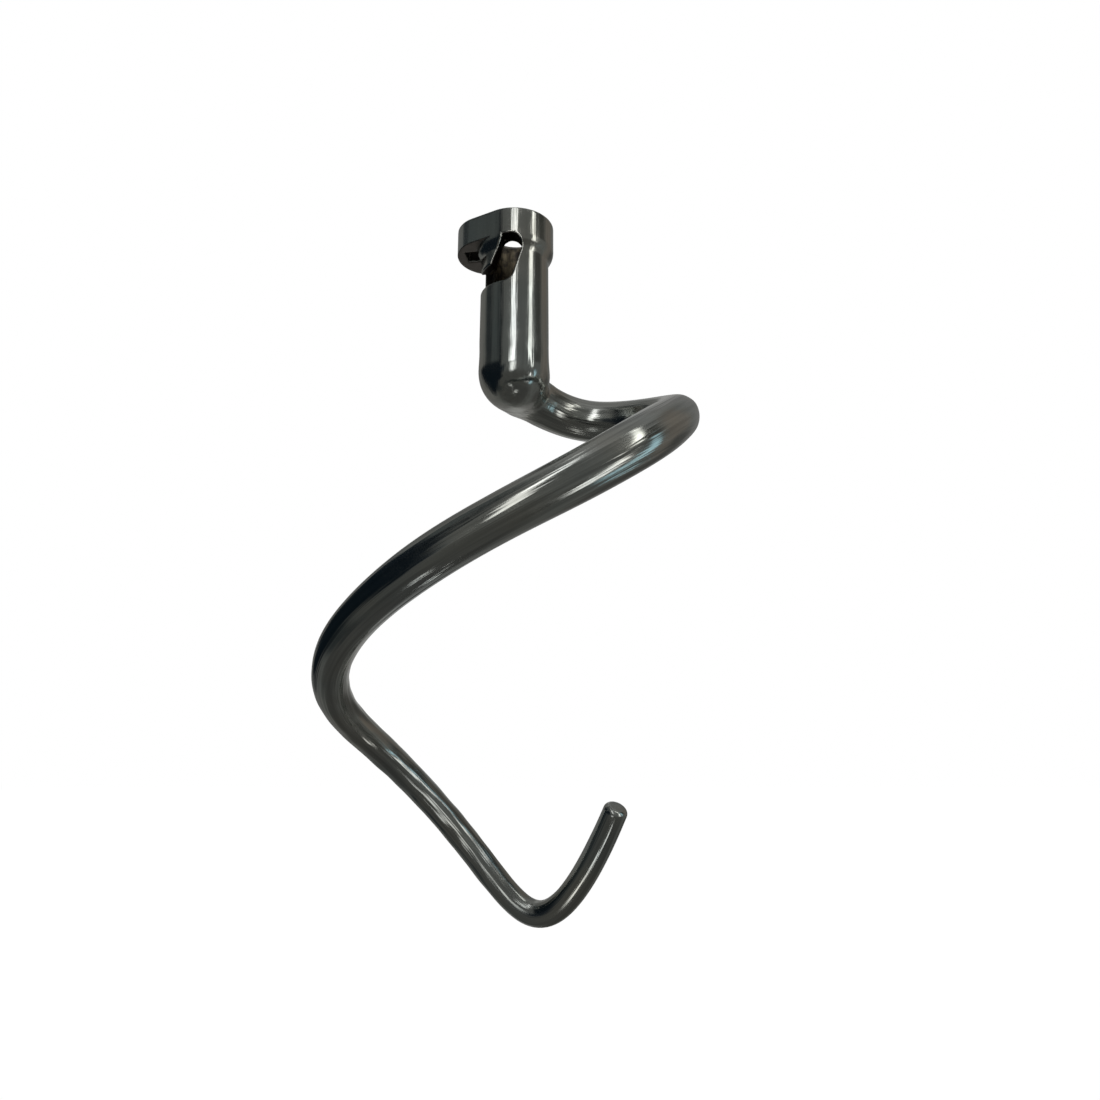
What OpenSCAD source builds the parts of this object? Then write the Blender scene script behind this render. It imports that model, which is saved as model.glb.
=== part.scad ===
// Spiral dough hook for a stand mixer: one steel forging with a bored hub that
// takes the mixer's drive shaft, a bayonet slot for the shaft's cross pin, and
// a tapering rod that winds once round the axis and ends in a blunt toe.
// Origin: on the bore's axis, level with the middle of the seated cross pin.
// +Z points up the drive shaft. Depths below are measured from the top face.

/* [Drive shaft] */
// Diameter of the mixer's drive shaft
shaft_d = 12.7; // [10:0.1:14]
// Room between the shaft and the bore, all round
shaft_gap = 0.15; // [0.05:0.01:0.5]
// Diameter of the cross pin that stands out of the shaft
pin_d = 4.8; // [4:0.1:5.4]
// Room on each side of the pin in the straight channel
channel_gap = 0.1; // [0.05:0.05:0.3]
// Room on each side of the pin in the turning slot
slot_gap = 0.7; // [0.3:0.05:0.9]

/* [Hub] */
// Diameter of the shank just below the collar
shank_top_d = 19.9; // [18.5:0.1:22]
// Diameter of the shank where it starts to bend
shank_low_d = 20.2; // [18.5:0.1:23]
// Distance from the top face down to the start of the bend
shank_h = 37; // [35.5:0.5:60]
// Depth of the bore's straight wall below the top face
bore_depth = 34; // [26:0.5:35]
// Width of the flare round the bore's mouth
mouth_flare = 2.4; // [0.5:0.1:3]

/* [Collar] */
// Diameter of the collar
collar_d = 22.9; // [22:0.1:30]
// Height of the collar's upright band
collar_h = 7.8; // [6:0.1:9]
// Radius of the collar's rounded underside
collar_round = 4.5; // [3.5:0.1:5.5]
// Bevel of the collar's and the lobe's rims
rim_bevel = 0.2; // [0.1:0.05:1.2]

/* [Lobe] */
// Distance from the axis to the lobe's outer end
lobe_reach = 17.7; // [16.5:0.1:24]
// Diameter of the lobe's round end
lobe_d = 19; // [14:0.1:20]
// Thickness of the lobe
lobe_h = 8.1; // [6:0.1:9]
// Direction of the lobe, from +X and seen from above
lobe_turn = 164; // [0:0.5:360]

/* [Bayonet slot] */
// Direction of the pin channel, measured from the lobe's own
channel_shift = 8; // [-8:0.5:10]
// Distance from the axis to the channel's outer wall
channel_reach = 14.6; // [12:0.1:15.5]
// Turn from the channel to the end of the low run
run_turn = 79; // [65:0.5:90]
// Turn from the end of the low run to the seat where the pin rests
seat_turn = 14; // [10:0.5:20]
// Depth of the low run's middle below the top face
run_depth = 19; // [18:0.1:26]
// Depth of the seated pin's middle below the top face
seat_depth = 11.1; // [10:0.1:12]

/* [Spiral] */
// Radius of the spiral's main turn, to the middle of the rod
coil_r = 46; // [38:0.5:60]
// Drop of the spiral below the bend, which scales its guide points
coil_drop = 160; // [130:1:220]
// Thickness of the rod at the start of the spiral
rod_d = 12.5; // [10:0.1:15]
// Thickness of the rod near the toe
toe_d = 6.6; // [5:0.1:9]
// Straight length at the toe, past the last bend
toe_tail = 2.5; // [2.3:0.1:10]
// Rounding of the toe's end face
toe_round = 1.6; // [0.5:0.1:2.2]

/* [Hidden] */

// Steel colour, dark because the polish mirrors its surroundings
steel = [0.33, 0.35, 0.36];
// Facets round the full circles
$fn = 72;

bore_r = shaft_d / 2 + shaft_gap;
shank_top_r = shank_top_d / 2;
shank_low_r = shank_low_d / 2;
collar_r = collar_d / 2;
lobe_r = lobe_d / 2;
// Distance from the axis to the centre of the lobe's round end
lobe_offset = lobe_reach - lobe_r;
// How far a cut runs past the surface that it opens
past = 1;

// Directions of the channel, of the two ends of the low run and of the pin's seat
channel_turn = lobe_turn + channel_shift;
channel_w = pin_d + 2 * channel_gap;
slot_w = pin_d + 2 * slot_gap;
run_start = channel_turn + (slot_w - channel_w) * 90 / (PI * shank_top_r);
run_end = channel_turn + run_turn;
seat_dir = run_end + seat_turn;
// How much the elbow's ball and the lobe's flanks differ from the rounds beside them
ease = 0.04;
// How much the slot's round ends stand proud of its straight sides
end_ease = 0.1;
// How far the channel runs down past the middle of the low run
channel_foot = 1.2;
// Corner where the way up to the seat leaves the low run: turn back from the run's
// end as a share of seat_turn, and height above the run's middle
corner_back = 0.6;
corner_rise = 1.4;

// Stops of the pin: direction in degrees, depth in mm
run_first = [run_start, run_depth];
run_last = [run_end, run_depth];
run_corner = [run_end - corner_back * seat_turn, run_depth - corner_rise];
seat = [seat_dir, seat_depth];

// Guide points of the rod below the bend: turn about the axis in degrees, clockwise
// from +Y as seen from above; reach, as a share of coil_r; drop, as a share of
// coil_drop; thickness, from 0 for toe_d to 1 for rod_d
rod_guide = [
    [12.0, 0.245, 0.071, 1.08],
    [40.5, 0.715, 0.110, 1.04],
    [79.0, 1.100, 0.112, 0.98],
    [104.0, 1.005, 0.176, 1.06],
    [137.0, 1.085, 0.270, 1.14],
    [164.0, 1.020, 0.362, 0.86],
    [195.5, 1.055, 0.453, 0.74],
    [221.5, 1.045, 0.522, 0.60],
    [247.0, 1.060, 0.588, 0.50],
    [273.5, 1.035, 0.658, 0.40],
    [299.5, 0.905, 0.724, 0.26],
    [333.5, 0.670, 0.870, 0.18],
    [366.5, 0.555, 1.013, 0.08],
    [393.0, 0.570, 0.995, 0.10],
    [435.5, 0.615, 0.845, 0.00],
    [471.5, 0.935, 0.588, -0.10]
];
// The last guide point on the axis and the first one off it, which still have the
// shank's full thickness
axis_guide = [0, 0, 0.046];
bend_guide = [-1.5, 0.100, 0.065];
// Distance from the top face down to the middle of the elbow's ball
elbow_share = 0.058;
elbow_drop = shank_h + elbow_share * coil_drop;
// How much smaller the rod starts than the ball that it grows out of
joint_step = 0.05;

// Points along each span between two guide points, and facets round the rod
rod_steps = 6;
rod_sides = 24;
toe_steps = 5;

// Cubic B-spline weights at a share f of a span
function weights(f) = [
    pow(1 - f, 3) / 6,
    (3 * pow(f, 3) - 6 * f * f + 4) / 6,
    (-3 * pow(f, 3) + 3 * f * f + 3 * f + 1) / 6,
    pow(f, 3) / 6
];

// The point of a spline at share f of the span that starts at guide point i
function blended(guide, i, f) =
    let (w = weights(f))
    w[0] * guide[i] + w[1] * guide[i + 1] + w[2] * guide[i + 2] + w[3] * guide[i + 3];

// Every point of the spline, with its last one
function smooth_line(guide, steps) = [
    for (i = [0:len(guide) - 4])
        for (k = [0:steps - (i < len(guide) - 4 ? 1 : 0)])
            blended(guide, i, k / steps)
];

function unit(v) = v / norm(v);
function place(point) = [point[0], point[1], point[2]];

// A rod guide row as [x, y, z, thickness]
function rod_point(turn, reach, drop, thickness) = [
    reach * coil_r * sin(turn),
    reach * coil_r * cos(turn),
    -shank_h - drop * coil_drop,
    thickness
];

// Direction of a line of points at point i, from the points on either side
function heading(line, i) =
    unit(place(line[min(i + 1, len(line) - 1)]) - place(line[max(i - 1, 0)]));

// Side directions carried along the line without twist
function side_dirs(dirs) = [
    for (
        i = 0, side = unit([1, 0, 0] - dirs[0] * dirs[0][0]);
        i < len(dirs);
        i = i + 1, side = i < len(dirs) ? unit(side - dirs[i] * (side * dirs[i])) : side
    ) side
];

// One ring of points round a centre
function ring(centre, radius, dir, side) =
    let (across = cross(dir, side))
    [for (k = [0:rod_sides - 1])
        let (a = 360 * k / rod_sides)
        centre + radius * (cos(a) * side + sin(a) * across)];

// Faces of a closed tube of rings, each with the same number of points
function tube_faces(count, sides) = concat(
    [[for (k = [0:sides - 1]) k]],
    [for (i = [0:count - 2], k = [0:sides - 1])
        let (next = (k + 1) % sides)
        [i * sides + k, (i + 1) * sides + k, (i + 1) * sides + next]],
    [for (i = [0:count - 2], k = [0:sides - 1])
        let (next = (k + 1) % sides)
        [i * sides + k, (i + 1) * sides + next, i * sides + next]],
    [[for (k = [sides - 1:-1:0]) (count - 1) * sides + k]]
);

// The spiral, from the elbow's ball to the blunt toe at the end
module rod() {
    start_d = shank_low_d - 2 * joint_step;
    guide = concat(
        [for (g = [axis_guide, bend_guide]) rod_point(g[0], g[1], g[2], start_d)],
        [for (g = rod_guide) rod_point(g[0], g[1], g[2], toe_d + (rod_d - toe_d) * g[3])]
    );
    curve = smooth_line(guide, rod_steps);
    last = len(curve) - 1;
    elbow = [0, 0, -elbow_drop, start_d];
    end_dir = unit(place(curve[last]) - place(curve[last - 1]));
    end_d = curve[last][3];
    toe = [
        for (k = [0:toe_steps])
            let (a = 90 * k / toe_steps)
            concat(
                place(curve[last]) + end_dir * (toe_tail - toe_round * (1 - sin(a))),
                end_d - 2 * toe_round * (1 - cos(a))
            )
    ];
    line = concat([elbow], curve, toe);
    dirs = concat(
        [heading([elbow, curve[0]], 0)],
        [for (i = [0:last]) heading(curve, i)],
        [for (k = [0:toe_steps]) end_dir]
    );
    sides = side_dirs(dirs);
    points = [
        for (i = [0:len(line) - 1])
            each ring(place(line[i]), line[i][3] / 2, dirs[i], sides[i])
    ];
    polyhedron(points, tube_faces(len(line), rod_sides), convexity = 10);
}

// Half section of a disc with bevelled rims, its top face at height 0
module bevelled_section(radius, height) {
    polygon([
        [0, 0],
        [radius - rim_bevel, 0],
        [radius, -rim_bevel],
        [radius, rim_bevel - height],
        [radius - rim_bevel, -height],
        [0, -height]
    ]);
}

// The collar: an upright band with a deep rounded underside
module collar() {
    rotate_extrude() {
        bevelled_section(collar_r, collar_h + rim_bevel);
        intersection() {
            translate([collar_r - collar_round, -collar_h]) circle(collar_round);
            translate([0, -collar_h - collar_round]) square([collar_r, collar_round]);
        }
        translate([0, -collar_h - collar_round])
            square([collar_r - collar_round, collar_round]);
    }
}

// The lobe: a round end and two straight flanks that run into the collar
module lobe() {
    spread = acos((collar_r - lobe_r) / lobe_offset);
    flank = lobe_offset * sin(spread);
    rotate([0, 0, lobe_turn]) {
        translate([lobe_offset, 0, 0])
            rotate_extrude() bevelled_section(lobe_r, lobe_h);
        for (side = [-1, 1])
            rotate([0, 0, side * spread])
                rotate([90, 0, 0])
                    translate([0, 0, side > 0 ? 0 : -flank])
                        linear_extrude(flank) bevelled_section(collar_r - ease, lobe_h);
    }
}

// The shank, slightly thicker towards the bend, and the ball that forms the elbow
module shank() {
    translate([0, 0, -shank_h])
        cylinder(h = shank_h - rim_bevel, r1 = shank_low_r, r2 = shank_top_r);
    translate([0, 0, -elbow_drop]) {
        cylinder(h = elbow_drop - shank_h, r = shank_low_r);
        sphere(shank_low_r + ease);
    }
}

// The blind bore with its flared mouth
module bore() {
    translate([0, 0, -bore_depth]) cylinder(h = bore_depth + past, r = bore_r);
    translate([0, 0, -mouth_flare])
        cylinder(h = mouth_flare + past, r1 = bore_r, r2 = bore_r + mouth_flare + past);
}

// The upright channel that lets the pin down through the lobe
module pin_channel() {
    channel_depth = run_depth + channel_foot;
    rotate([0, 0, channel_turn])
        translate([0, -channel_w / 2, -channel_depth])
            cube([channel_reach, channel_w, channel_depth + past]);
}

// A round cut towards the axis at one stop of the pin
module round_cut(stop) {
    rotate([0, 0, stop[0]])
        translate([bore_r - past, 0, -stop[1]])
            rotate([0, 90, 0])
                cylinder(h = collar_r - bore_r + 2 * past, d = slot_w + 2 * end_ease);
}

// A straight cut towards the axis from one stop of the pin to the next
module straight_cut(from, to) {
    middle = (from + to) / 2;
    along = (to[0] - from[0]) * shank_top_r * PI / 180;
    down = to[1] - from[1];
    length = norm([along, down]);
    rotate([0, 0, middle[0]])
        translate([bore_r - past, 0, -middle[1]])
            rotate([atan2(-down, along), 0, 0])
                translate([0, -length / 2, -slot_w / 2])
                    cube([collar_r - bore_r + 2 * past, length, slot_w]);
}

// The level cut along the low run
module run_cut() {
    rotate([0, 0, run_start])
        rotate_extrude(angle = run_end - run_start)
            translate([bore_r - past, -run_depth - slot_w / 2])
                square([collar_r - bore_r + 2 * past, slot_w]);
}

// The turning slot, from the foot of the channel along the low run and up to the seat
module turning_slot() {
    run_cut();
    straight_cut(run_last, seat);
    straight_cut(run_corner, seat);
    for (stop = [run_first, run_last, seat])
        round_cut(stop);
}

module dough_hook() {
    color(steel)
        translate([0, 0, seat_depth])
            difference() {
                union() {
                    shank();
                    collar();
                    lobe();
                    rod();
                }
                bore();
                pin_channel();
                turning_slot();
            }
}

dough_hook();
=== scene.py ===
# Spiral dough hook of a stand mixer, in dark polished steel.
# One mesh stands for the whole forging: the hub is shaped as a distance field with
# rounded edges and hollows, and the rod below it is swept as a fine smooth tube.
# Sizes are in millimetres and depths run down from the top face, as in the CAD.
import math

import bmesh
import bpy
import numpy as np
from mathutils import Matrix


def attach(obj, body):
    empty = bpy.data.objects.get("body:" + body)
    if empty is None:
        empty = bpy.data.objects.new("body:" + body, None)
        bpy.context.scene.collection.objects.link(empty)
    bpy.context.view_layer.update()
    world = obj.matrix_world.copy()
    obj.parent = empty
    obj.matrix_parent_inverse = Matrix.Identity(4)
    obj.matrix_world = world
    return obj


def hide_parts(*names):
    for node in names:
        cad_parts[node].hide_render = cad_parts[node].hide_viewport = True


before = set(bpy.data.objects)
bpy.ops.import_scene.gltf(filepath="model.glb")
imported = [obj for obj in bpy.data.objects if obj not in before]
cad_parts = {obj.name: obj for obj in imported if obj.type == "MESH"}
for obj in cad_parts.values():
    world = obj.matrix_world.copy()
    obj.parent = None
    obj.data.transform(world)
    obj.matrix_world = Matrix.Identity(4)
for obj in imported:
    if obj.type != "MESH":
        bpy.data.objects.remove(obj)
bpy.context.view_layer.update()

import openvdb

mm = 0.001

hub = {
    "shankTopRadius": 9.95,
    "shankLowRadius": 10.1,
    "shankLength": 37.0,
    "elbowDepth": 46.28,      # middle of the ball in the elbow
    "collarRadius": 11.45,
    "collarHeight": 12.3,     # with the rounded underside
    "collarRound": 4.5,
    "lobeReach": 17.7,
    "lobeRadius": 9.5,
    "lobeHeight": 8.1,
    "lobeTurn": 164.0,        # degrees from +X, seen from above
    "rimRound": 0.35,
    "neckHollow": 0.9,        # hollow where the collar and lobe meet the shank
    "elbowHollow": 4.0,       # hollow where the rod leaves the elbow's ball
    "elbowThinning": 1.0,
    "edgeRound": 0.6,         # rounding of the slot's and the bore's edges
    # shallow dents left by forging in the elbow: direction, phase
    "dents": [((0.52, 0.31, 0.44), 0.7), ((-0.35, 0.58, 0.29), 2.9), ((0.21, -0.47, 0.66), 4.4),
              ((0.83, 0.12, -0.37), 1.6)],
    "dentHeight": 0.035,
    "dentStart": 37.0,
    "dentFade": 6.0,
    "marksShare": 0.3,        # depth of the grinding marks on the hub, as a share of the rod's
    "marksFade": 1.5,
    "seatDepth": 11.1,        # the frame's origin lies this far below the top face
}

bore = {
    "radius": 6.5,
    "depth": 34.0,
    "mouthFlare": 2.4,
}

slot = {
    "halfWidth": 3.1,
    "runDepth": 19.0,
    "runStart": 175.5,
    "runEnd": 251.0,
    "seatTurn": 265.0,
    "cornerTurn": 242.6,
    "cornerDepth": 17.6,
    "crownTurn": 261.5,       # squarer outer edge at the top of the slot
    "crownDepth": 10.4,
    "crownHalfWidth": 1.65,
    "crownHalfHeight": 2.3,
    "crownFloor": 8.2,        # distance from the axis where the squarer edge stops
    "channelTurn": 172.0,
    "channelHalfWidth": 2.5,
    "channelReach": 14.6,
    "channelDepth": 20.2,
}

rod = {
    "coilRadius": 46.0,
    "coilDrop": 160.0,
    "toeDiameter": 6.6,
    "startDiameter": 12.5,
    "toeTail": 2.5,
    "toeRound": 1.6,
    # turn clockwise from +Y, reach and drop as shares, thickness from toe (0) to start (1)
    "axisGuide": (0.0, 0.0, 0.046),
    "bendGuide": (-1.5, 0.100, 0.065),
    "guide": [
        (12.0, 0.245, 0.071, 1.08),
        (40.5, 0.715, 0.110, 1.04),
        (79.0, 1.100, 0.112, 0.98),
        (104.0, 1.005, 0.176, 1.06),
        (137.0, 1.085, 0.270, 1.14),
        (164.0, 1.020, 0.362, 0.86),
        (195.5, 1.055, 0.453, 0.74),
        (221.5, 1.045, 0.522, 0.60),
        (247.0, 1.060, 0.588, 0.50),
        (273.5, 1.035, 0.658, 0.40),
        (299.5, 0.905, 0.724, 0.26),
        (333.5, 0.670, 0.870, 0.18),
        (366.5, 0.555, 1.013, 0.08),
        (393.0, 0.570, 0.995, 0.10),
        (435.5, 0.615, 0.845, 0.00),
        (471.5, 0.935, 0.588, -0.10),
    ],
    "stepLength": 0.9,
    "sides": 64,
    # hand-ground waves: lobes round the rod, length along it, height, phase
    "waves": [
        (3, 71.0, 0.060, 0.4),
        (5, 47.0, 0.034, 1.9),
        (8, 95.0, 0.022, 4.1),
        (11, 133.0, 0.014, 2.7),
        (-4, 39.0, 0.030, 5.2),
    ],
    # shorter waves on the lower leg, from this length along the rod on
    "legWaves": [
        (3, 7.3, 0.020, 3.3),
        (-5, 10.7, 0.020, 0.9),
        (4, 14.9, 0.030, 5.0),
        (-2, 8.9, 0.016, 2.2),
    ],
    "legStart": 185.0,
    "legEnd": 30.0,           # from the toe
    "legFade": 40.0,
    "waveFade": 12.0,
    "joinTurn": 1.25,         # spans below the elbow where the tube takes over from the field
}

mesher = {
    "cell": 0.28,             # spacing of the points on the hub
    "adaptivity": 0.002,
    "low": (-18.8, -12.8, -58.6),
    "high": (22.0, 27.0, 1.2),
    "joinGap": 0.4,           # from the hub's cut end to the tube's first ring
}


# Distance fields take arrays of points in millimetres and are negative inside.

def length(*parts):
    return np.sqrt(sum(part * part for part in parts))


def roundUnion(a, b, radius):
    return np.maximum(radius, np.minimum(a, b)) - length(
        np.maximum(radius - a, 0), np.maximum(radius - b, 0))


def roundIntersection(a, b, radius):
    return np.minimum(-radius, np.maximum(a, b)) + length(
        np.maximum(a + radius, 0), np.maximum(b + radius, 0))


def ballChain(p, centres, radii):
    best = np.full(len(p), 1e3)
    for a, b, ra, rb in zip(centres[:-1], centres[1:], radii[:-1], radii[1:]):
        span = b - a
        t = np.clip((p - a) @ span / (span @ span), 0, 1)
        gap = np.linalg.norm(p - a - t[:, None] * span, axis=1)
        best = np.minimum(best, gap - ra - t * (rb - ra))
    return best


def turned(p, degrees):  # x and y of the points, seen in a frame turned about the axis
    c, s = math.cos(math.radians(degrees)), math.sin(math.radians(degrees))
    return p[:, 0] * c + p[:, 1] * s, p[:, 1] * c - p[:, 0] * s


def collarField(p):
    half = hub["collarHeight"] / 2
    z = p[:, 2] + half
    corner = np.where(z > 0, hub["rimRound"], hub["collarRound"])
    across = length(p[:, 0], p[:, 1]) - hub["collarRadius"] + corner
    along = np.abs(z) - half + corner
    return np.minimum(np.maximum(across, along), 0) + length(
        np.maximum(across, 0), np.maximum(along, 0)) - corner


def lobeField(p):
    x, y = turned(p, hub["lobeTurn"])
    r1, r2 = hub["collarRadius"], hub["lobeRadius"]
    reach = hub["lobeReach"] - r2
    lean = (r1 - r2) / reach
    flat = math.sqrt(1 - lean * lean)
    y = np.abs(y)
    k = x * flat - y * lean
    plan = np.where(k < 0, length(x, y) - r1,
                    np.where(k > flat * reach, length(x - reach, y) - r2, x * lean + y * flat - r1))
    half, corner = hub["lobeHeight"] / 2, hub["rimRound"]
    across = plan + corner
    along = np.abs(p[:, 2] + half) - half + corner
    return np.minimum(np.maximum(across, along), 0) + length(
        np.maximum(across, 0), np.maximum(along, 0)) - corner


def boreField(p):
    r = length(p[:, 0], p[:, 1])
    hole = np.maximum(r - bore["radius"], -p[:, 2] - bore["depth"])
    flare = (r - bore["radius"] - bore["mouthFlare"] - p[:, 2]) * math.sqrt(0.5)
    return np.minimum(hole, flare)


def slotField(p):
    r = length(p[:, 0], p[:, 1])
    angle = np.degrees(np.arctan2(p[:, 1], p[:, 0])) % 360
    wall = hub["shankTopRadius"]
    stops = {
        "start": (slot["runStart"], slot["runDepth"]),
        "end": (slot["runEnd"], slot["runDepth"]),
        "seat": (slot["seatTurn"], hub["seatDepth"]),
        "corner": (slot["cornerTurn"], slot["cornerDepth"]),
    }
    best = np.full(len(p), 1e3)
    for first, last in (("start", "end"), ("end", "seat"), ("corner", "seat")):
        a, b = (np.array([math.radians(stops[s][0]) * wall, -stops[s][1]]) for s in (first, last))
        q = np.stack([np.radians(angle) * wall, p[:, 2]], axis=1)
        t = np.clip((q - a) @ (b - a) / ((b - a) @ (b - a)), 0, 1)
        gap = q - a - t[:, None] * (b - a)
        side = r * np.sin(np.clip(gap[:, 0] / wall, -1.57, 1.57))
        best = np.minimum(best, length(side, gap[:, 1]))
    across = np.abs(r * np.sin(np.radians(angle - slot["crownTurn"]))) - slot["crownHalfWidth"]
    crown = np.maximum.reduce([across, np.abs(p[:, 2] + slot["crownDepth"]) - slot["crownHalfHeight"],
                               slot["crownFloor"] - r, np.where(p[:, 1] > 0, 9.0, -9.0)])
    return np.minimum(np.maximum(best - slot["halfWidth"], 3 - r), crown)


def channelField(p):
    x, y = turned(p, slot["channelTurn"])
    return np.maximum.reduce([
        np.abs(y) - slot["channelHalfWidth"],
        x - slot["channelReach"],
        -x,
        -p[:, 2] - slot["channelDepth"],
    ])


# The rod's centre line is a cubic B-spline through its guide rows.

def guideRow(turn, reach, drop, thickness=None):
    low, high = rod["toeDiameter"], rod["startDiameter"]
    full = 2 * hub["shankLowRadius"] - 0.1
    a, out = math.radians(turn), reach * rod["coilRadius"]
    return [out * math.sin(a), out * math.cos(a), -hub["shankLength"] - drop * rod["coilDrop"],
            full if thickness is None else low + (high - low) * thickness]


def splineAt(guide, t):
    i = np.minimum(t.astype(int), len(guide) - 4)
    f = (t - i)[:, None]
    return ((1 - f) ** 3 * guide[i] + (3 * f ** 3 - 6 * f * f + 4) * guide[i + 1]
            + (-3 * f ** 3 + 3 * f * f + 3 * f + 1) * guide[i + 2] + f ** 3 * guide[i + 3]) / 6


rodGuide = np.array([guideRow(*rod["axisGuide"]), guideRow(*rod["bendGuide"])]
                    + [guideRow(*row) for row in rod["guide"]])
spans = len(rodGuide) - 3
elbow = np.array([0, 0, -hub["elbowDepth"]])
upperLine = splineAt(rodGuide, np.linspace(0, rod["joinTurn"] + 0.2, 24))
upperCentres, upperRadii = upperLine[:, :3], upperLine[:, 3] / 2
shankCentres = np.array([[0, 0, -0.05 - hub["shankTopRadius"]], [0, 0, -hub["shankLength"]], elbow])
shankRadii = np.array([hub["shankTopRadius"], hub["shankLowRadius"], hub["shankLowRadius"]])
# thinned where the rod's surface would run along the ball's, so that their blend adds nothing
upperRadii = upperRadii - np.interp(np.arange(24), [0, 9], [hub["elbowThinning"], 0])


def bodyField(p):
    shank = ballChain(p, shankCentres, shankRadii)
    head = np.minimum(collarField(p), lobeField(p))
    body = roundUnion(shank, ballChain(p, upperCentres, upperRadii), hub["elbowHollow"])
    fade = np.clip((-p[:, 2] - hub["dentStart"]) / hub["dentFade"], 0, 1) * hub["dentHeight"]
    for ahead, phase in hub["dents"]:
        body = body + fade * np.sin(p @ np.array(ahead) + phase)
    return roundUnion(body, head, hub["neckHollow"])


def cutField(p):
    return np.minimum.reduce([boreField(p), slotField(p), channelField(p)])


def hubField(p):
    return roundIntersection(bodyField(p), -cutField(p), hub["edgeRound"])


def gradient(field, p, step=0.02):
    parts = []
    for axis in np.eye(3) * step:
        parts.append(field(p + axis) - field(p - axis))
    g = np.stack(parts, axis=1) / (2 * step)
    return g / np.maximum(np.linalg.norm(g, axis=1, keepdims=True), 1e-6)


def meshField(field, low, high, cell):
    counts = np.ceil((np.array(high) - low) / cell).astype(int) + 1
    axes = [low[k] + cell * np.arange(counts[k]) for k in range(3)]
    values = np.empty(counts, np.float32)
    plane = np.stack(np.meshgrid(axes[1], axes[2], indexing="ij"), axis=-1).reshape(-1, 2)
    for i, x in enumerate(axes[0]):
        p = np.column_stack([np.full(len(plane), x), plane])
        values[i] = field(p).reshape(counts[1], counts[2])
    grid = openvdb.FloatGrid(background=3 * cell)
    grid.copyFromArray(np.clip(values, -3 * cell, 3 * cell))
    points, tris, quads = grid.convertToPolygons(isovalue=0.0, adaptivity=mesher["adaptivity"])
    points = points.astype(float) * cell + np.array(low)
    for _ in range(3):  # settle each point on the surface itself
        move = field(points)[:, None] * gradient(field, points)
        points -= np.clip(move, -cell / 2, cell / 2)
    return points, [tuple(t) for t in tris.tolist()] + [tuple(q) for q in quads.tolist()]


# The hub's mesh is cut square to the rod where the tube takes over.

joinPoint = splineAt(rodGuide, np.array([rod["joinTurn"]]))[0]
joinAhead = splineAt(rodGuide, np.array([rod["joinTurn"] + 0.01]))[0]
joinDir = (joinAhead - joinPoint)[:3]
joinDir /= np.linalg.norm(joinDir)

hubPoints, hubFaces = meshField(hubField, mesher["low"], mesher["high"], mesher["cell"])
print("hub surface:", len(hubPoints), "points")


def cutHub(points, faces):
    mesh = bpy.data.meshes.new("hubCut")
    mesh.from_pydata(points.tolist(), [], faces)
    bm = bmesh.new()
    bm.from_mesh(mesh)
    bmesh.ops.bisect_plane(bm, geom=bm.verts[:] + bm.edges[:] + bm.faces[:], dist=1e-4,
                           plane_co=joinPoint[:3], plane_no=joinDir, clear_outer=True)
    bmesh.ops.remove_doubles(bm, verts=[v for v in bm.verts if v.is_boundary], dist=0.03)
    bmesh.ops.triangulate(bm, faces=bm.faces[:])
    bm.verts.index_update()
    points = np.array([v.co[:] for v in bm.verts])
    faces = [tuple(v.index for v in f.verts) for f in bm.faces]
    rim = [v.index for v in bm.verts if v.is_boundary]
    bm.free()
    bpy.data.meshes.remove(mesh)
    return points, faces, rim


hubPoints, hubFaces, hubRim = cutHub(hubPoints, hubFaces)


# The rod is a row of rings along the spline, then the rounded toe.

def evenTurns(guide, first, last, step):  # spline places an equal length apart
    fine = np.linspace(first, last, 6000)
    points = splineAt(guide, fine)[:, :3]
    run = np.concatenate([[0], np.cumsum(np.linalg.norm(np.diff(points, axis=0), axis=1))])
    count = int(run[-1] / step) + 1
    return np.interp(np.linspace(0, run[-1], count), run, fine)


def tubeRings():
    turns = evenTurns(rodGuide, rod["joinTurn"], spans - 1e-9, rod["stepLength"])
    line = splineAt(rodGuide, turns)
    centres, radii = line[:, :3], line[:, 3] / 2
    dirs = np.gradient(centres, axis=0)
    dirs[0], dirs[-1] = joinDir, centres[-1] - centres[-2]
    dirs /= np.linalg.norm(dirs, axis=1, keepdims=True)
    centres[0] += joinDir * mesher["joinGap"]
    slopes = np.gradient(radii) / rod["stepLength"]
    toeSteps, toeRound, endDir = 10, rod["toeRound"], dirs[-1]
    tail = [(rod["toeTail"] - toeRound) * k / 3 for k in (1, 2)]
    rounded = [math.radians(90 * k / toeSteps) for k in range(toeSteps + 1)]
    more = [(d, radii[-1], 0.0) for d in tail]
    more += [(rod["toeTail"] - toeRound * (1 - math.sin(a)), radii[-1] - toeRound * (1 - math.cos(a)),
              -math.tan(min(a, 1.55))) for a in rounded]
    centres = np.vstack([centres] + [centres[-1] + endDir * d for d, _, _ in more])
    dirs = np.vstack([dirs] + [endDir for _ in more])
    radii = np.concatenate([radii, [r for _, r, _ in more]])
    slopes = np.concatenate([slopes, [s for _, _, s in more]])
    return centres, dirs, radii, slopes


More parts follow.
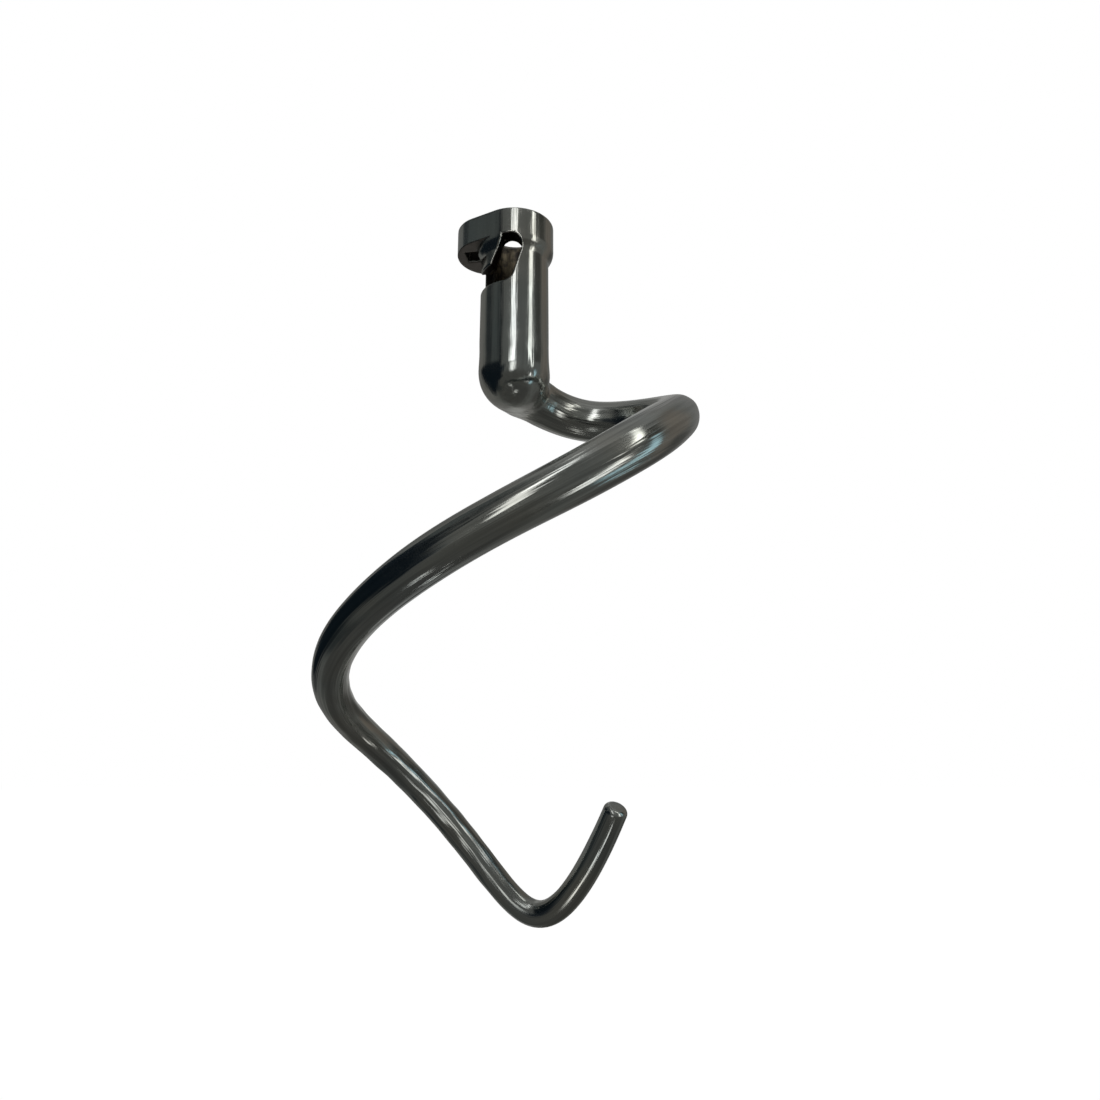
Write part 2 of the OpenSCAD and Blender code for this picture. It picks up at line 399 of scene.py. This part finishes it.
def waveAt(angles, run, rest):  # height of the ground waves and its slopes round and along
    fade = np.clip(min(run, rest) / rod["waveFade"], 0, 1)
    legFade = fade * np.clip(min(run - rod["legStart"], rest - rod["legEnd"]) / rod["legFade"], 0, 1)
    height, byAngle, byRun = np.zeros((3, len(angles)))
    for waves, share in ((rod["waves"], fade), (rod["legWaves"], legFade)):
        for lobes, span, size, phase in waves:
            turn = lobes * angles + 2 * np.pi * run / span + phase
            height += size * share * np.cos(turn)
            byAngle -= size * share * lobes * np.sin(turn)
            byRun -= size * share * 2 * np.pi / span * np.sin(turn)
    return height, byAngle, byRun


def tubeMesh():
    centres, dirs, radii, slopes = tubeRings()
    sides, side = rod["sides"], np.array([1.0, 0, 0])
    angles = 2 * np.pi * np.arange(sides) / sides
    runs = np.concatenate([[0], np.cumsum(np.linalg.norm(np.diff(centres, axis=0), axis=1))])
    points, normals, places = [], [], []
    for centre, along, radius, slope, run in zip(centres, dirs, radii, slopes, runs):
        side = side - along * (side @ along)
        side /= np.linalg.norm(side)
        across = np.cross(along, side)
        out = np.cos(angles)[:, None] * side + np.sin(angles)[:, None] * across
        round_ = np.cos(angles)[:, None] * across - np.sin(angles)[:, None] * side
        height, byAngle, byRun = waveAt(angles, run, runs[-1] - run)
        lean = out - (byAngle / radius)[:, None] * round_ - (slope + byRun)[:, None] * along
        points.append(centre + (radius + height)[:, None] * out)
        normals.append(lean / np.linalg.norm(lean, axis=1, keepdims=True))
        places.append(np.stack([radius * np.cos(angles), radius * np.sin(angles),
                                np.full(sides, 100 + run)], axis=1))
    faces = []
    for i in range(len(centres) - 1):
        for k in range(sides):
            n = (k + 1) % sides
            faces.append((i * sides + k, i * sides + n, (i + 1) * sides + n, (i + 1) * sides + k))
    points.append([centres[-1]])
    normals.append([dirs[-1]])
    places.append([[0, 0, 100 + runs[-1]]])
    last, tip = (len(centres) - 1) * sides, len(centres) * sides
    faces += [(last + k, last + (k + 1) % sides, tip) for k in range(sides)]
    return np.vstack(points), np.vstack(normals), faces, np.vstack(places)


rodPoints, rodNormals, rodFaces, rodPlaces = tubeMesh()
print("rod surface:", len(rodPoints), "points")


def bridge(points, loopA, loopB):  # a band of triangles between two loops round the join
    side = rodPoints[0] - joinPoint[:3]
    side -= joinDir * (side @ joinDir)
    side /= np.linalg.norm(side)
    across = np.cross(joinDir, side)

    def around(loop):
        rel = points[loop] - joinPoint[:3]
        angle = np.arctan2(rel @ across, rel @ side) % (2 * np.pi)
        order = np.argsort(angle)
        return [loop[k] for k in order], angle[order]

    a, angleA = around(loopA)
    b, angleB = around(loopB)
    faces, i, j = [], 0, 0
    while i < len(a) or j < len(b):
        nextA = angleA[i + 1] if i + 1 < len(a) else angleA[0] + 2 * np.pi if i < len(a) else 9.0
        nextB = angleB[j + 1] if j + 1 < len(b) else angleB[0] + 2 * np.pi if j < len(b) else 9.0
        if nextA <= nextB:
            faces.append((a[i % len(a)], a[(i + 1) % len(a)], b[j % len(b)]))
            i += 1
        else:
            faces.append((a[i % len(a)], b[(j + 1) % len(b)], b[j % len(b)]))
            j += 1
    return faces


def buildHook():
    start = len(hubPoints)
    points = np.vstack([hubPoints, rodPoints])
    faces = list(hubFaces) + [tuple(k + start for k in f) for f in rodFaces]
    faces += bridge(points, hubRim, [start + k for k in range(rod["sides"])])
    normals = np.vstack([gradient(hubField, hubPoints), rodNormals])
    mesh = bpy.data.meshes.new("doughHook")
    lifted = (points + [0, 0, hub["seatDepth"]]) * mm
    mesh.from_pydata(lifted.tolist(), [], faces)
    bm = bmesh.new()
    bm.from_mesh(mesh)
    bmesh.ops.recalc_face_normals(bm, faces=bm.faces[:])
    openEdges = sum(e.is_boundary or not e.is_manifold for e in bm.edges)
    bm.to_mesh(mesh)
    bm.free()
    mesh.shade_smooth()
    mesh.normals_split_custom_set_from_vertices(normals.tolist())
    addMasks(mesh, points, normals)
    hook = bpy.data.objects.new("doughHook", mesh)
    bpy.context.scene.collection.objects.link(hook)
    print("dough hook:", len(mesh.polygons), "faces,", openEdges, "open edges")
    return hook


def hubPlaces(points):  # places on the bar for the hub's points, and how deep the marks are there
    turns = np.linspace(0, rod["joinTurn"] + 0.2, len(upperCentres))
    steps = np.linalg.norm(np.diff(upperCentres, axis=0), axis=1)
    runs = np.concatenate([[0], np.cumsum(steps)])
    runs -= np.interp(rod["joinTurn"], turns, runs)
    best, centre, ahead, run = np.full(len(points), 1e3), points * 0, points * 0, points[:, 0] * 0
    for k, step in enumerate(steps):
        along = (upperCentres[k + 1] - upperCentres[k]) / step
        t = np.clip((points - upperCentres[k]) @ along, 0, step)
        near = upperCentres[k] + t[:, None] * along
        gap = np.linalg.norm(points - near, axis=1)
        closer = gap < best
        best[closer], centre[closer], run[closer] = gap[closer], near[closer], (runs[k] + t)[closer]
        ahead[closer] = along
    side = np.array([1.0, 0, 0]) - ahead * ahead[:, :1]
    side /= np.linalg.norm(side, axis=1, keepdims=True)
    across = np.cross(ahead, side)
    off = points - centre
    onBar = np.stack([(off * side).sum(axis=1), (off * across).sum(axis=1), 100 + run], axis=1)
    lean = ballChain(points, shankCentres, shankRadii) - ballChain(points, upperCentres, upperRadii)
    share = np.clip(np.abs(lean) / hub["marksFade"], 0, 1)
    depth = share * share * (3 - 2 * share) * np.where(lean > 0, 1.0, hub["marksShare"])
    return np.where(lean[:, None] > 0, onBar, points), depth


def addMasks(mesh, points, normals):
    r = length(points[:, 0], points[:, 1])
    inHub = np.arange(len(points)) < len(hubPoints)
    underLobe = inHub & (normals[:, 2] < -0.6) & (points[:, 2] > -9.2) & (r > 10.5)
    # the walls of the slot and channel, where the steel gets painted shade (near black); the bore's
    # walls get painted shade mottled with brown
    cutWall = inHub & (np.abs(cutField(points)) < 0.35) & (bodyField(points) < -0.35)
    inner = np.abs(boreField(points)) < 0.7
    for name, mask in (("castSkin", underLobe), ("cutWall", cutWall & ~inner),
                       ("boreWall", cutWall & inner)):
        layer = mesh.attributes.new(name, "FLOAT", "POINT")
        layer.data.foreach_set("value", mask.astype(np.float32))
    # where a point lies on the straightened bar, so that grinding marks run along it
    places, depth = hubPlaces(hubPoints)
    rest = rodPlaces[:, 2].max() - rodPlaces[:, 2]
    depth = np.concatenate([depth, np.interp(rest, [0.5, 3], [0.3, 1])])
    layer = mesh.attributes.new("marksDepth", "FLOAT", "POINT")
    layer.data.foreach_set("value", depth.astype(np.float32))
    places = np.vstack([places, rodPlaces]) * mm
    layer = mesh.attributes.new("barPlace", "FLOAT_VECTOR", "POINT")
    layer.data.foreach_set("vector", places.astype(np.float32).ravel())


hook = buildHook()


# Steel: polished outside, cast grain under the lobe, dull walls inside with painted shade: near black in
# the slot and channel, near black mottled with brown in the bore.

steel = {
    "cool": (0.50, 0.53, 0.52),
    "warm": (0.55, 0.55, 0.51),
    "cast": (0.24, 0.22, 0.20),
    # painted shade: near black on the walls inside the slot and channel
    "cut": (0.05, 0.045, 0.04),
    # brown mottled into the painted shade on the bore's walls
    "bore": (0.20, 0.17, 0.12),
    "roughness": 0.10,
    "roughnessSpread": 0.12,
    "castRoughness": 0.50,
    "cutRoughness": 0.40,
    "wave": 0.00004,          # metres that the hand-polished surface rises and falls
    "groove": 0.00024,        # depth of the long grinding marks on the rod
    "scratch": 0.000016,
    "streakDark": 0.68,       # how far the marks darken the steel between them
    "streakLight": 1.16,
    "castBump": 0.00008,
}


def nodeMaker(tree):
    def make(kind, **settings):
        node = tree.nodes.new("ShaderNode" + kind)
        for key, value in settings.items():
            if key.startswith("in_"):
                node.inputs[key[3:].replace("_", " ")].default_value = value
            else:
                setattr(node, key, value)
        return node
    return make


def makeSteel():
    mat = bpy.data.materials.new("polishedSteel")
    mat.use_nodes = True
    tree = mat.node_tree
    tree.nodes.clear()
    make, link = nodeMaker(tree), tree.links.new
    place = make("TexCoord").outputs["Object"]

    def noise(scale, detail=3.0, rough=0.5, source=place):
        node = make("TexNoise", in_Scale=scale, in_Detail=detail, in_Roughness=rough)
        link(source, node.inputs["Vector"])
        return node.outputs["Fac"]

    def mixed(factor, a, b, kind="RGBA"):
        node = make("Mix", data_type=kind)
        slots = {"RGBA": (6, 7, 2), "FLOAT": (2, 3, 0)}[kind]
        for value, index in ((a, slots[0]), (b, slots[1])):
            if isinstance(value, bpy.types.NodeSocket):
                link(value, node.inputs[index])
            else:
                node.inputs[index].default_value = value
        if isinstance(factor, bpy.types.NodeSocket):
            link(factor, node.inputs[0])
        return node.outputs[slots[2]]

    def ramp(source, low, high):
        node = make("MapRange", clamp=True)
        node.inputs["From Min"].default_value = low
        node.inputs["From Max"].default_value = high
        link(source, node.inputs["Value"])
        return node.outputs["Result"]

    def mask(name):
        return make("Attribute", attribute_name=name).outputs["Fac"]

    cast, cut, inner = mask("castSkin"), mask("cutWall"), mask("boreWall")
    depth = mask("marksDepth")
    lengthwise = make("Mapping", in_Scale=(1.0, 1.0, 0.03))
    link(make("Attribute", attribute_name="barPlace").outputs["Vector"], lengthwise.inputs["Vector"])
    marks = noise(640.0, 2.0, 0.6, lengthwise.outputs["Vector"])
    tone = mixed(ramp(noise(38.0), 0.35, 0.65), (*steel["cool"], 1), (*steel["warm"], 1))
    streak = mixed(ramp(marks, 0.3, 0.7), steel["streakDark"], steel["streakLight"], "FLOAT")
    streak = mixed(depth, 1.0, streak, "FLOAT")
    scaled = make("VectorMath", operation="SCALE")
    link(tone, scaled.inputs[0])
    link(streak, scaled.inputs["Scale"])
    tone = scaled.outputs["Vector"]
    tone = mixed(cast, tone, (*steel["cast"], 1))
    # painted shade: the walls of the slot and channel turn near black
    tone = mixed(cut, tone, (*steel["cut"], 1))
    # painted shade in the bore: near black, mottled with brown by noise
    boreShadeMottle = mixed(ramp(noise(420.0, 2.0, 0.6), 0.35, 0.6), (*steel["cut"], 1), (*steel["bore"], 1))
    tone = mixed(inner, tone, boreShadeMottle)

    low = steel["roughness"]
    rough = mixed(ramp(noise(160.0, 5.0, 0.65), 0.3, 0.7), low, low + steel["roughnessSpread"], "FLOAT")
    rough = mixed(cast, rough, steel["castRoughness"], "FLOAT")
    rough = mixed(cut, rough, steel["cutRoughness"], "FLOAT")
    rough = mixed(inner, rough, steel["cutRoughness"], "FLOAT")

    def bump(height, distance, before=None):
        node = make("Bump", in_Strength=1.0, in_Distance=distance)
        link(height, node.inputs["Height"])
        if before:
            link(before, node.inputs["Normal"])
        return node.outputs["Normal"]

    surface = bump(noise(90.0, 1.0, 0.4), steel["wave"])
    cutMarks = make("Math", operation="MULTIPLY")
    link(marks, cutMarks.inputs[0])
    link(depth, cutMarks.inputs[1])
    surface = bump(cutMarks.outputs["Value"], steel["groove"], surface)
    surface = bump(noise(2600.0, 2.0, 0.6, lengthwise.outputs["Vector"]), steel["scratch"], surface)
    grain = make("Math", operation="MULTIPLY")
    link(noise(1100.0, 4.0, 0.7), grain.inputs[0])
    link(cast, grain.inputs[1])
    surface = bump(grain.outputs["Value"], steel["castBump"], surface)

    shader = make("BsdfPrincipled", in_Metallic=1.0)
    link(tone, shader.inputs["Base Color"])
    link(rough, shader.inputs["Roughness"])
    link(surface, shader.inputs["Normal"])
    link(shader.outputs["BSDF"], make("OutputMaterial").inputs["Surface"])
    return mat


hook.data.materials.append(makeSteel())
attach(hook, "root")
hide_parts("dough_hook")


# Studio: white for the camera, a dim room with tall bright strips for the steel to mirror.

studio = {
    "floorDrop": 0.34,        # metres below the origin
    "floorSize": 12.0,
    "floorTone": 0.86,
    "floorGlow": 0.93,        # share of the camera's view of the floor that is plain white
    "floorWhite": 1.035,
    "skyForFloor": 0.8,
    "roomTone": (0.125, 0.128, 0.122, 1),
    # What the steel mirrors, each over the ones before it: turn from the camera's side
    # towards +X and lift, half sizes, softness of the edges (all degrees), brightness, tint.
    "panels": [
        (0, 90, 180, 24, 90, 26, 0.24, (1.0, 1.0, 0.97)),
        (0, -90, 180, 30, 90, 24, 0.065, (1.0, 1.0, 0.95)),
        (180, 12, 10, 40, 38, 16, 0.19, (1.0, 0.99, 0.96)),
        (180, 12, 3, 34, 12, 12, 0.36, (1.0, 1.0, 0.98)),
        (122, 22, 12, 24, 12, 14, 0.17, (1.0, 0.90, 0.79)),
        (140, -8, 8, 18, 12, 12, 0.08, (1.0, 0.98, 0.92)),
        (-128, 20, 12, 40, 14, 14, 0.165, (1.0, 1.0, 0.95)),
        (-92, 6, 8, 60, 14, 14, 0.035, (0.85, 1.0, 1.05)),
        (-62, 6, 12, 60, 8, 14, 0.075, (0.88, 1.0, 0.99)),
        (-43, 22, 2.5, 46, 6, 14, 0.015, (0.8, 1.0, 1.15)),
        (-50, -14, 20, 14, 10, 10, 0.02, (0.75, 1.0, 1.25)),
        (88, 36, 8, 10, 10, 8, 0.05, (1.0, 1.0, 0.9)),
        (0, 68, 14, 5, 22, 12, 0.28, (1.0, 1.0, 0.98)),
        (0, -38, 70, 16, 20, 14, 0.08, (1.0, 1.0, 0.93)),
    ],
    # a strip light close in front of the hub, and cards close round the hook
    "strip": {"place": (0.003, -0.16, 0.080), "wide": 0.033, "tall": 0.192, "radiance": 1.9},
    "cards": [
        # name, middle, turn and tilt (0, 0 faces the camera's side), width, height, tone
        ("highStrip", (0.0, -0.16, 0.235), 0, 0, 0.050, 0.120, (1.5, 1.5, 1.46)),
        ("footStrip", (-0.018, -0.161, 0.016), 0, 0, 0.030, 0.070, (1.5, 1.5, 1.46)),
        ("lowStrip", (0.004, -0.16, -0.053), 0, 0, 0.036, 0.072, (1.8, 1.8, 1.76)),
        ("legStrip", (-0.015, -0.062, -0.193), 0, 0, 0.026, 0.040, (1.1, 1.1, 1.07)),
        ("toeStrip", (0.0145, -0.008, -0.203), 33, 90, 0.010, 0.034, (1.3, 1.3, 1.27)),
        ("sideStrip", (0.123, -0.080, 0.052), 57, 0, 0.026, 0.19, (2.1, 2.1, 2.0)),
        ("sideLowStrip", (0.123, -0.075, -0.122), 60, 0, 0.030, 0.11, (1.8, 1.8, 1.76)),
        ("coolStrip", (0.125, -0.028, -0.095), 90, 0, 0.024, 0.125, (0.60, 0.88, 0.98)),
        ("darkCard", (-0.15, -0.045, -0.08), -90, 0, 0.35, 0.24, (0.006, 0.010, 0.014)),
    ],
    "cardSoftness": 0.3,      # share of a card's half size over which its edge fades
}


def makeFloor():
    mesh = bpy.data.meshes.new("floor")
    half, z = studio["floorSize"] / 2, -studio["floorDrop"]
    mesh.from_pydata([(-half, -half, z), (half, -half, z), (half, half, z), (-half, half, z)],
                     [], [(0, 1, 2, 3)])
    mat = bpy.data.materials.new("paleFloor")
    mat.use_nodes = True
    tree = mat.node_tree
    tree.nodes.clear()
    make, link = nodeMaker(tree), tree.links.new
    tone = studio["floorTone"]
    plain = make("BsdfDiffuse", in_Color=(tone, tone, tone, 1))
    white = make("Emission", in_Color=(1, 1, 1, 1), in_Strength=studio["floorWhite"])
    glow = make("Math", operation="MULTIPLY")
    glow.inputs[1].default_value = studio["floorGlow"]
    path = make("LightPath")
    link(path.outputs["Is Camera Ray"], glow.inputs[0])
    both, mirrored = make("MixShader"), make("MixShader")
    link(glow.outputs["Value"], both.inputs["Fac"])
    link(plain.outputs["BSDF"], both.inputs[1])
    link(white.outputs["Emission"], both.inputs[2])
    # the steel mirrors the room's panels, also below the level of the floor
    link(path.outputs["Is Glossy Ray"], mirrored.inputs["Fac"])
    link(both.outputs["Shader"], mirrored.inputs[1])
    link(make("BsdfTransparent").outputs["BSDF"], mirrored.inputs[2])
    link(mirrored.outputs["Shader"], make("OutputMaterial").inputs["Surface"])
    mesh.materials.append(mat)
    floor = bpy.data.objects.new("floor", mesh)
    bpy.context.scene.collection.objects.link(floor)


def makeWorld():
    world = bpy.data.worlds.new("studio")
    bpy.context.scene.world = world
    world.use_nodes = True
    tree = world.node_tree
    tree.nodes.clear()
    make, link = nodeMaker(tree), tree.links.new

    def math_(kind, *values):
        node = make("Math", operation=kind)
        for slot_, value in zip(node.inputs, values):
            if isinstance(value, bpy.types.NodeSocket):
                link(value, slot_)
            else:
                slot_.default_value = value
        return node.outputs["Value"]

    def window(angle, centre, half, soft):  # 1 inside, 0 outside, smooth between
        off = math_("ABSOLUTE", math_("WRAP", math_("SUBTRACT", angle, centre), 180.0, -180.0))
        node = make("MapRange", clamp=True, interpolation_type="SMOOTHSTEP")
        for name, value in (("From Min", half), ("From Max", half + soft), ("To Min", 1), ("To Max", 0)):
            node.inputs[name].default_value = value
        link(off, node.inputs["Value"])
        return node.outputs["Result"]

    def mix(factor, a, b):
        node = make("Mix", data_type="RGBA")
        for value, index in ((factor, 0), (a, 6), (b, 7)):
            if isinstance(value, bpy.types.NodeSocket):
                link(value, node.inputs[index])
            else:
                node.inputs[index].default_value = value
        return node.outputs[2]

    axes = make("SeparateXYZ")
    link(make("TexCoord").outputs["Generated"], axes.inputs[0])
    x, y, z = axes.outputs
    turn = math_("DEGREES", math_("ARCTAN2", x, math_("MULTIPLY", y, -1.0)))
    lift = math_("DEGREES", math_("ARCSINE", z))
    tone = studio["roomTone"]
    for centre, height, half, halfTall, soft, softTall, bright, tint in studio["panels"]:
        inside = math_("MULTIPLY", window(turn, centre, half, soft),
                       window(lift, height, halfTall, softTall))
        tone = mix(inside, tone, (*(bright * c for c in tint), 1))
    path = make("LightPath")
    plain = mix(path.outputs["Is Camera Ray"], (*[studio["skyForFloor"]] * 3, 1), (1, 1, 1, 1))
    tone = mix(path.outputs["Is Glossy Ray"], plain, tone)
    sky = make("Background", in_Strength=1.0)
    link(tone, sky.inputs["Color"])
    link(sky.outputs["Background"], make("OutputWorld").inputs["Surface"])


def makeStrip():
    strip = studio["strip"]
    light = bpy.data.lights.new("frontStrip", "AREA")
    light.shape = "RECTANGLE"
    light.size, light.size_y = strip["wide"], strip["tall"]
    light.energy = strip["radiance"] * math.pi * light.size * light.size_y
    lamp = bpy.data.objects.new("frontStrip", light)
    lamp.location = strip["place"]
    lamp.rotation_euler = (math.radians(90), 0, 0)
    lamp.visible_camera = False
    bpy.context.scene.collection.objects.link(lamp)


def makeCard(name, place, turn, tilt, wide, tall, tone):
    x, z = wide / 2, tall / 2
    mesh = bpy.data.meshes.new(name)
    mesh.from_pydata([(-x, 0, -z), (x, 0, -z), (x, 0, z), (-x, 0, z)], [], [(0, 1, 2, 3)])
    mat = bpy.data.materials.new(name)
    mat.use_nodes = True
    tree = mat.node_tree
    tree.nodes.clear()
    make, link = nodeMaker(tree), tree.links.new
    glow = make("Emission", in_Color=(*tone, 1), in_Strength=1.0)
    axes = make("SeparateXYZ")
    link(make("TexCoord").outputs["Object"], axes.inputs[0])
    shares = []
    for axis, half in (("X", x), ("Z", z)):
        off = make("Math", operation="ABSOLUTE")
        link(axes.outputs[axis], off.inputs[0])
        share = make("MapRange", clamp=True, interpolation_type="SMOOTHSTEP")
        for key, value in (("From Min", half), ("From Max", half * (1 - studio["cardSoftness"])),
                           ("To Min", 0), ("To Max", 1)):
            share.inputs[key].default_value = value
        link(off.outputs["Value"], share.inputs["Value"])
        shares.append(share.outputs["Result"])
    both = make("Math", operation="MULTIPLY")
    for share, socket in zip(shares, both.inputs):
        link(share, socket)
    shown = make("MixShader")
    link(both.outputs["Value"], shown.inputs["Fac"])
    link(make("BsdfTransparent").outputs["BSDF"], shown.inputs[1])
    link(glow.outputs["Emission"], shown.inputs[2])
    link(shown.outputs["Shader"], make("OutputMaterial").inputs["Surface"])
    mesh.materials.append(mat)
    card = bpy.data.objects.new(name, mesh)
    card.location = place
    card.rotation_euler = (math.radians(tilt), 0, math.radians(turn))
    card.visible_camera = False
    bpy.context.scene.collection.objects.link(card)


makeFloor()
makeWorld()
makeStrip()
for card in studio["cards"]:
    makeCard(*card)
print("studio: floor, strip,", len(studio["cards"]), "cards and", len(studio["panels"]), "panels")


# The camera is low in front of the hook and looks up at it.

view = {
    "place": (0.01046, -0.23496, -0.14397),
    "pitch": 13.386,          # degrees above level
    "lens": 28.713,           # for a 36 mm square frame
}

lens = bpy.data.cameras.new("camera")
lens.sensor_width = 36.0
lens.lens = view["lens"]
lens.clip_start = 0.01
camera = bpy.data.objects.new("camera", lens)
camera.location = view["place"]
camera.rotation_euler = (math.radians(90 + view["pitch"]), 0, 0)
bpy.context.scene.collection.objects.link(camera)
bpy.context.scene.camera = camera
bpy.context.scene.view_settings.view_transform = "Standard"
